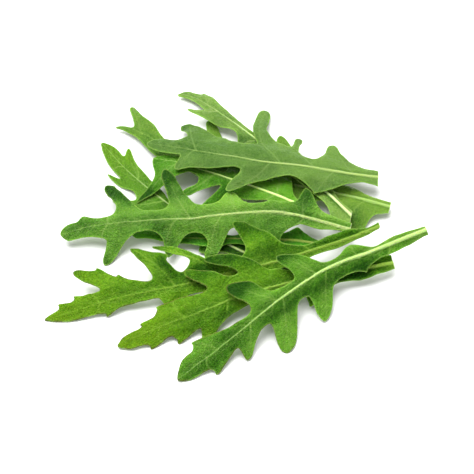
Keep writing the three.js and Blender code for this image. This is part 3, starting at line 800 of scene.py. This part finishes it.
class Section:
    """What lies at each vertex of a leaf: midrib, stalk, blade and veins."""

    def __init__(self, sheet, plan, seed):
        half = np.maximum(plan.half, STALK_HALF_LEAST)
        self.rib_half = RIB_HALF[1] + (RIB_HALF[0] - RIB_HALF[1]) * (1 - plan.share) ** RIB_NARROWS
        self.rib_round = np.sqrt(np.clip(1 - (plan.away / self.rib_half / RIB_FOOT) ** 2, 0, 1))
        self.stalk = 1 - ease(*STALK_HALF, plan.half)
        self.stalk_round = self.stalk * np.sqrt(np.clip(1 - (plan.away / half) ** 2, 0, 1))
        self.blade = ease(0.0, BLADE_STARTS, plan.away - self.rib_half) * (1 - self.stalk)
        self.vein, clear = vein_marks(sheet, draw_veins(sheet, plan, seed))
        self.clear = np.minimum(clear, np.maximum(0.0, plan.away - self.rib_half))


def wave(sheet, away, size, seed):
    """A rolling wave over the blade that grows with the distance from the midrib."""
    rolling = rolling_noise(sheet.flat, size["length"], seed * size["seed"])
    return 2 * size["height"] * rolling * ease(size["starts"], size["full"], away)


def fold_depth(plan, leaf):
    """How far each side folds down beside the midrib, less towards the tip."""
    return plan.by_side(leaf["fold"]) * (1 - FOLD["lost_at_tip"] * plan.share)


def roll_blade(sheet, plan, section, leaf, seed):
    """The rise and drop that a blade would have if nothing were in its way."""
    away = plan.away
    waves = wave(sheet, away, LONG_WAVE, seed) + wave(sheet, away, SHORT_WAVE, seed)
    reach = away / SHOULDER["away"]
    waves += SHOULDER["height"] * reach * np.exp(1 - reach) * section.blade
    waves -= EDGE_DROP["height"] * np.exp(-plan.inward / EDGE_DROP["within"]) * section.blade
    waves -= fold_depth(plan, leaf) * (1 - np.exp(-away / FOLD["reach"]))
    lifted = np.clip((away - LIFT["starts"]) / LIFT["reach"], 0, LIFT["most"])
    waves += plan.by_side(leaf["lift"]) * lifted
    return waves * leaf["waves"]


def cell_relief(sheet, size, seed):
    """Small rounded cells, 0 in the creases between them and 1 on top."""
    out = []
    for x, y in sheet.flat:
        near = noise.voronoi(Vector((x / size, y / size, seed)))[0]
        out.append(near[1] - near[0])
    return ease(0.0, CELL["top"], np.array(out))


def make_pillows(sheet, section, leaf, seed):
    """How far each vertex is up between the veins, from 0 to 1, with the small cells on top."""
    pillow = (1 - np.exp(-(section.clear / PUCKER["reach"]) ** 2)) * (1 - CELL["share"])
    cells = cell_relief(sheet, leaf["cell"], seed * CELL["seed"])
    return pillow + cells * CELL["share"] * ease(*CELL["fade"], section.clear)


def pucker_blade(plan, section, leaf, pillow):
    """The small heights of the blade: puckers, sunken veins and the grooves by the midrib."""
    pucker = leaf["pucker"] * (pillow - 0.5) * section.blade
    pucker *= ease(0.0, PUCKER["from_edge"], plan.inward)
    pucker -= VEIN_SINK * section.vein * section.blade
    off_groove = (plan.away - GROOVE["away"] * section.rib_half) / section.rib_half
    return pucker - GROOVE["depth"] * np.exp(-off_groove ** 2) * (1 - section.stalk)


def painted_light_and_shade_of(sheet, plan, section, leaf):
    """Painted light and shade: how much lighter or darker each vertex is painted for its side, lobe
    ends, spots, the band beside the midrib and the fold.
    """
    # Painted light and shade on each side and on the lobe ends.
    tone_with_painted_shade = plan.by_side(leaf["sides"]) * ease(*SIDE_SHADE_REACH, plan.away)
    tone_with_painted_shade += plan.by_side(leaf["ends"]) * ease(*LOBE_END_SHADE_REACH, plan.away)
    # Spots of painted light and painted shade, among them painted shadow under the leaves above.
    for x, y, reach, change in leaf["light_and_shade_spots"]:
        off = sheet.flat - np.array((x, y)) - PLAN_SHIFT
        tone_with_painted_shade += change * np.exp(-(np.linalg.norm(off, axis=1) / reach) ** 2)
    # Painted shade in a band beside the midrib.
    beside = (plan.away - SHADE_BESIDE_RIB["away"]) / SHADE_BESIDE_RIB["width"]
    tone_with_painted_shade -= SHADE_BESIDE_RIB["shade"] * np.exp(-beside ** 2) * (1 - section.stalk)
    # Painted shade where the blade folds down beside the midrib.
    fold_at = FOLD["reach"] * (SHADE_IN_FOLD["away"] - SHADE_IN_FOLD["nearer_at_tip"] * plan.share)
    off_fold = (plan.away - fold_at) / fold_at / SHADE_IN_FOLD["width"]
    return tone_with_painted_shade - SHADE_IN_FOLD["shade"] * fold_depth(plan, leaf) * np.exp(-off_fold ** 2)


def mark_leaf(sheet, plan, section, leaf, pillow):
    """The marks, one number a vertex each, that the leaf's colours follow."""
    midrib = 1 - ease(*RIB_PALE, plan.away / section.rib_half)
    midrib *= 1 - RIB_FADE["loss"] * ease(RIB_FADE["starts"], RIB_FADE["full"], plan.share)
    cut = np.zeros(len(sheet.flat))
    cut[plan.cut_end] = 1
    return {
        "midrib": midrib,
        "vein": section.vein * (1 - midrib),
        "edge": np.exp(-(plan.inward / RIM_WIDTH) ** 2),
        "along": plan.share,
        "stalk": section.stalk * (1 - ease(*STALK_PALE, plan.share)),
        "pillow": np.clip(pillow * section.blade, 0, 1),
        # Painted light and shade for the sides, lobe ends, spots, the band beside the midrib and the
        # fold.
        "tone_with_painted_shade": painted_light_and_shade_of(sheet, plan, section, leaf),
        "cut": cut,
    }


def shape_leaf(sheet, plan, leaf, room, seed):
    """Heights of the upper and under side, and the marks that the colours follow."""
    section = Section(sheet, plan, seed)
    up, down = room
    waves = roll_blade(sheet, plan, section, leaf, seed)
    waves = fit_in(waves, up * WAVE_SHARE, down * WAVE_SHARE)
    pillow = make_pillows(sheet, section, leaf, seed)
    pucker = pucker_blade(plan, section, leaf, pillow)
    pucker = fit_in(pucker, up - np.maximum(waves, 0), down - np.maximum(-waves, 0))
    middle = sheet.height + waves + pucker
    half_thick = (BLADE_EDGE + (BLADE - BLADE_EDGE) * ease(0.0, BLADE_TAPER, plan.inward)) / 2
    rib_above = RIB_ABOVE[1] + (RIB_ABOVE[0] - RIB_ABOVE[1]) * (1 - plan.share)
    rib_below = RIB_BELOW[1] + (RIB_BELOW[0] - RIB_BELOW[1]) * (1 - plan.share)
    above = np.maximum(rib_above * section.rib_round ** 2, STALK_ABOVE * section.stalk_round)
    below = np.maximum(rib_below * section.rib_round, STALK_BELOW * section.stalk_round)
    below += VEIN_BELOW * section.vein * section.blade
    under = np.maximum(middle - half_thick - below, 0.0)
    upper = np.maximum(middle + half_thick + above, under + BLADE_EDGE)
    return upper, under, mark_leaf(sheet, plan, section, leaf, pillow)


def close_leaf(sheet, plan, upper, under, name):
    """Gives the sheet its under side and its rim, and returns the finished mesh."""
    mesh = sheet.mesh
    down = mesh.verts.layers.int.new("down")
    spot = mesh.verts.layers.int.new("spot")
    for vert in mesh.verts:
        vert[spot] = vert.index
    made = bmesh.ops.extrude_face_region(mesh, geom=mesh.faces[:], use_keep_orig=True)
    for thing in made["geom"]:
        if isinstance(thing, bmesh.types.BMVert):
            thing[down] = 1
    for vert in mesh.verts:
        at = vert[spot]
        height = under if vert[down] else upper
        vert.co = (sheet.flat[at, 0], sheet.flat[at, 1], height[at])
    bmesh.ops.recalc_face_normals(mesh, faces=mesh.faces)
    bmesh.ops.scale(mesh, verts=mesh.verts, vec=(MM, MM, MM))
    for face in mesh.faces:
        face.smooth = True
    cut = set(plan.cut_end.tolist())
    for edge in mesh.edges:
        at_cut = all(vert[spot] in cut for vert in edge.verts)
        facing_up = {face.normal.z > FACES_UP for face in edge.link_faces}
        if at_cut and len(facing_up) > 1:
            edge.smooth = False
    data = bpy.data.meshes.new(name)
    mesh.to_mesh(data)
    mesh.free()
    return data


def take_numbers(data, name):
    """One whole number a vertex, read from the mesh and then taken off it."""
    values = np.zeros(len(data.vertices), np.int32)
    data.attributes[name].data.foreach_get("value", values)
    data.attributes.remove(data.attributes[name])
    return values


def add_mark(data, name, values):
    """Puts one number a vertex on the mesh, for the skin to follow."""
    layer = data.attributes.new(name, "FLOAT", "POINT")
    layer.data.foreach_set("value", np.asarray(values, np.float32))


def make_leaf(sheets, number):
    """Builds one leaf's finished piece in the place of its solid."""
    leaf, sheet, seed = LEAVES[number], sheets[number], number + 1
    name = leaf["node"] + "_blade"
    plan = Plan(sheet, leaf["rib"])
    upper, under, marks = shape_leaf(sheet, plan, leaf, find_room(sheets, number), seed)
    data = close_leaf(sheet, plan, upper, under, name)
    spot = take_numbers(data, "spot")
    down = take_numbers(data, "down")
    for mark, values in marks.items():
        add_mark(data, mark, values[spot])
    add_mark(data, "underside", down)
    data.materials.append(leaf_finish(leaf, seed))
    piece = bpy.data.objects.new(name, data)
    bpy.context.scene.collection.objects.link(piece)
    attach(piece, "root")
    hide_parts(leaf["node"])


def make_leaves():
    """Prepares all the leaves first, since each one's room depends on its neighbours."""
    sheets = []
    for number, leaf in enumerate(LEAVES):
        sheet = Sheet(leaf["node"])
        round_edge(sheet, np.array(leaf["rib"][0], float) + PLAN_SHIFT, number + 1)
        smooth_blade(sheet)
        sheets.append(sheet)
    for number in range(len(LEAVES)):
        make_leaf(sheets, number)


class Finish:
    """A shader that is put together node by node."""

    def __init__(self, name):
        self.material = bpy.data.materials.new(name)
        self.material.use_nodes = True
        self.nodes = self.material.node_tree.nodes
        self.links = self.material.node_tree.links
        self.shader = self.nodes["Principled BSDF"]

    def add(self, kind, **settings):
        node = self.nodes.new(kind)
        for name, value in settings.items():
            setattr(node, name, value)
        return node

    def feed(self, socket, value):
        """Gives a socket a value, or joins it to what another node puts out."""
        if isinstance(value, bpy.types.NodeSocket):
            self.links.new(value, socket)
        else:
            socket.default_value = value

    def mark(self, name):
        return self.add("ShaderNodeAttribute", attribute_name=name).outputs["Fac"]

    def place(self):
        return self.add("ShaderNodeTexCoord").outputs["Object"]

    def noise(self, look, seed=0.0):
        node = self.add("ShaderNodeTexNoise")
        self.feed(node.inputs["Vector"], self.place())
        self.feed(node.inputs["Scale"], look["scale"] + seed)
        self.feed(node.inputs["Detail"], look["detail"])
        self.feed(node.inputs["Roughness"], look["rough"])
        return node.outputs["Fac"]

    def cells(self, scale):
        node = self.add("ShaderNodeTexVoronoi", feature="DISTANCE_TO_EDGE")
        self.feed(node.inputs["Vector"], self.place())
        self.feed(node.inputs["Scale"], scale)
        return node.outputs["Distance"]

    def spread(self, value, low, high, to_low=0.0, to_high=1.0):
        """The value, taken from one range to another and held within it."""
        node = self.add("ShaderNodeMapRange", interpolation_type="SMOOTHSTEP")
        self.feed(node.inputs["Value"], value)
        self.feed(node.inputs["From Min"], low)
        self.feed(node.inputs["From Max"], high)
        self.feed(node.inputs["To Min"], to_low)
        self.feed(node.inputs["To Max"], to_high)
        return node.outputs["Result"]

    def pattern(self, look, seed=0.0):
        """A noise pattern that runs from 0 to 1."""
        return self.spread(self.noise(look, seed), *look["range"])

    def reckon(self, operation, value, other):
        node = self.add("ShaderNodeMath", operation=operation)
        self.feed(node.inputs[0], value)
        self.feed(node.inputs[1], other)
        return node.outputs["Value"]

    def times(self, value, other):
        return self.reckon("MULTIPLY", value, other)

    def plus(self, value, other):
        return self.reckon("ADD", value, other)

    def mix(self, share, first, second, blend="MIX"):
        """One colour over another, by a share."""
        node = self.add("ShaderNodeMix", data_type="RGBA", blend_type=blend)
        self.feed(node.inputs["Factor"], share)
        self.feed(node.inputs[6], first)
        self.feed(node.inputs[7], second)
        return node.outputs[2]


def skin_tone_with_painted_shade(skin, leaf, seed):
    """How light each place is: patches, blotches and mottle, painted shade in the creases between
    puckers with painted light on their tops, the leaf's painted light and shade, and a lighter or
    darker stalk end.
    """
    tone_with_painted_shade = skin.times(skin.pattern(PATCHES, seed), PATCHES["share"])
    tone_with_painted_shade = skin.plus(tone_with_painted_shade, skin.times(skin.pattern(BLOTCHES), BLOTCHES["share"]))
    tone_with_painted_shade = skin.plus(tone_with_painted_shade, skin.times(skin.pattern(MOTTLE), MOTTLE["share"]))
    # Painted shade in the creases between puckers, painted light on their tops.
    tone_with_painted_shade = skin.plus(tone_with_painted_shade, skin.times(skin.mark("pillow"), PUCKER_SHADE_SHARE))
    tone_with_painted_shade = skin.plus(tone_with_painted_shade, skin.mark("tone_with_painted_shade"))
    return skin.plus(tone_with_painted_shade, skin.spread(skin.mark("along"), *STALKWARD_RANGE, leaf["stalkward"], 0.0))


def blade_colour(skin, leaf, tone_with_painted_shade):
    """The blade's green with its dust and painted sheen, its net of fine veins, its side veins and
    its stalk.
    """
    # The tone, which carries painted light and shade as well as the skin's own patches, mixes the
    # deep and light greens.
    colour = skin.mix(tone_with_painted_shade, leaf["deep"], leaf["light"])
    # Pale dust on the puckers where the skin is lighter: partly waxy bloom, partly a painted sheen.
    dust_and_sheen = skin.times(skin.times(skin.pattern(DUST_AND_SHEEN), leaf["bloom_and_sheen"]), skin.mark("pillow"))
    dust_and_sheen = skin.times(dust_and_sheen, skin.spread(tone_with_painted_shade, *DUST_AND_SHEEN_TONES))
    colour = skin.mix(dust_and_sheen, colour, BLOOM_AND_SHEEN)
    net = skin.spread(skin.cells(NET["scale"]), 0.0, NET["width"], 1.0, 0.0)
    colour = skin.mix(skin.times(net, NET["share"]), colour, leaf["vein"])
    colour = skin.mix(skin.times(skin.mark("vein"), VEIN_SHARE), colour, leaf["vein"])
    return skin.mix(skin.times(skin.mark("stalk"), STALK_SHARE), colour, leaf["vein"])


def skin_colour(skin, leaf, seed):
    """The blade's colour, then what lies over it: ripe tip, painted shade, a painted highlight and
    browning on the rim, midrib and other sides.
    """
    tone_with_painted_shade = skin_tone_with_painted_shade(skin, leaf, seed)
    colour = blade_colour(skin, leaf, tone_with_painted_shade)
    ripe = skin.spread(skin.mark("along"), *RIPE_RANGE, 0.0, leaf["ripe"])
    colour = skin.mix(ripe, colour, RIPE)
    colour = skin.mix(skin.spread(tone_with_painted_shade, *SHADE_TONES, 1.0, 0.0), colour, SHADE, "MULTIPLY")
    # Painted highlight along the leaf's edge.
    colour = skin.mix(skin.times(skin.mark("edge"), RIM_HIGHLIGHT_SHARE), colour, RIM_HIGHLIGHT)
    burnt = skin.times(skin.pattern(BURNT, seed), leaf["browned"])
    burnt = skin.times(burnt, skin.spread(skin.mark("along"), *BURNT_ALONG))
    colour = skin.mix(skin.times(burnt, skin.mark("edge")), colour, BROWNED)
    colour = skin.mix(skin.mark("midrib"), colour, leaf["midrib"])
    colour = skin.mix(skin.times(skin.mark("underside"), UNDER_SHARE), colour, UNDER_SIDE)
    return skin.mix(skin.times(skin.mark("cut"), CUT_SHARE), colour, CUT_FACE)


def skin_grain(skin, leaf):
    """Small cells with a finer grain on them, which the light catches."""
    cells, height = leaf["grain"]
    grain = skin.times(skin.noise(GRAIN), GRAIN["share"])
    grain = skin.plus(grain, skin.spread(skin.cells(cells), 0.0, GRAIN["cell"]))
    bump = skin.add("ShaderNodeBump")
    skin.feed(bump.inputs["Strength"], GRAIN["strength"])
    skin.feed(bump.inputs["Distance"], height * MM)
    skin.feed(bump.inputs["Height"], grain)
    return bump.outputs["Normal"]


def leaf_finish(leaf, seed):
    """A leaf's skin: mottled green with painted light and shade, pale midrib and veins, paler under
    side, fine grain.
    """
    skin = Finish(leaf["node"] + "_skin")
    roughness = [leaf["gloss"] + change for change in GLOSS_SPREAD]
    gloss = skin.spread(skin.noise(SHEEN), *SHEEN["range"], *roughness)
    skin.feed(skin.shader.inputs["Base Color"], skin_colour(skin, leaf, seed))
    skin.feed(skin.shader.inputs["Roughness"], gloss)
    skin.feed(skin.shader.inputs["Specular IOR Level"], leaf["shine"])
    skin.feed(skin.shader.inputs["Subsurface Weight"], SEE_INTO["share"])
    skin.feed(skin.shader.inputs["Subsurface Radius"], SEE_INTO["colour"])
    skin.feed(skin.shader.inputs["Subsurface Scale"], SEE_INTO["depth"])
    skin.feed(skin.shader.inputs["Normal"], skin_grain(skin, leaf))
    return skin.material


def make_table():
    """A plain white table that fades into the background."""
    top = bmesh.new()
    bmesh.ops.create_grid(top, x_segments=1, y_segments=1, size=TABLE["half"])
    data = bpy.data.meshes.new("table")
    top.to_mesh(data)
    top.free()
    white = Finish("table_white")
    white.feed(white.shader.inputs["Base Color"], TABLE_WHITE)
    white.feed(white.shader.inputs["Roughness"], TABLE["rough"])
    white.feed(white.shader.inputs["Specular IOR Level"], TABLE["shine"])
    data.materials.append(white.material)
    table = bpy.data.objects.new("table", data)
    bpy.context.scene.collection.objects.link(table)


def set_down(name, data, settings):
    """Puts a camera or a light in its place and turns it to what it is aimed at."""
    thing = bpy.data.objects.new(name, data)
    thing.location = settings["at"]
    thing.rotation_mode = "QUATERNION"
    towards = Vector(settings["aim"]) - thing.location
    thing.rotation_quaternion = towards.to_track_quat("-Z", "Y")
    bpy.context.scene.collection.objects.link(thing)
    return thing


def make_camera():
    data = bpy.data.cameras.new("camera")
    data.lens = CAMERA["lens"]
    data.sensor_width = CAMERA["sensor"]
    data.clip_start = CAMERA["near"]
    data.clip_end = CAMERA["far"]
    bpy.context.scene.camera = set_down("camera", data, CAMERA)


def light_room():
    """White light from all round and a wide window above."""
    world = bpy.data.worlds.new("room")
    world.use_nodes = True
    walls = world.node_tree.nodes["Background"]
    walls.inputs["Color"].default_value = WHITE
    walls.inputs["Strength"].default_value = ROOM_LIGHT
    bpy.context.scene.world = world
    window = bpy.data.lights.new("window", "AREA")
    window.shape = "DISK"
    window.size = WINDOW["size"]
    window.energy = WINDOW["power"]
    set_down("window", window, WINDOW)
    bpy.context.scene.view_settings.view_transform = "Standard"


make_camera()
light_room()
make_table()
make_leaves()
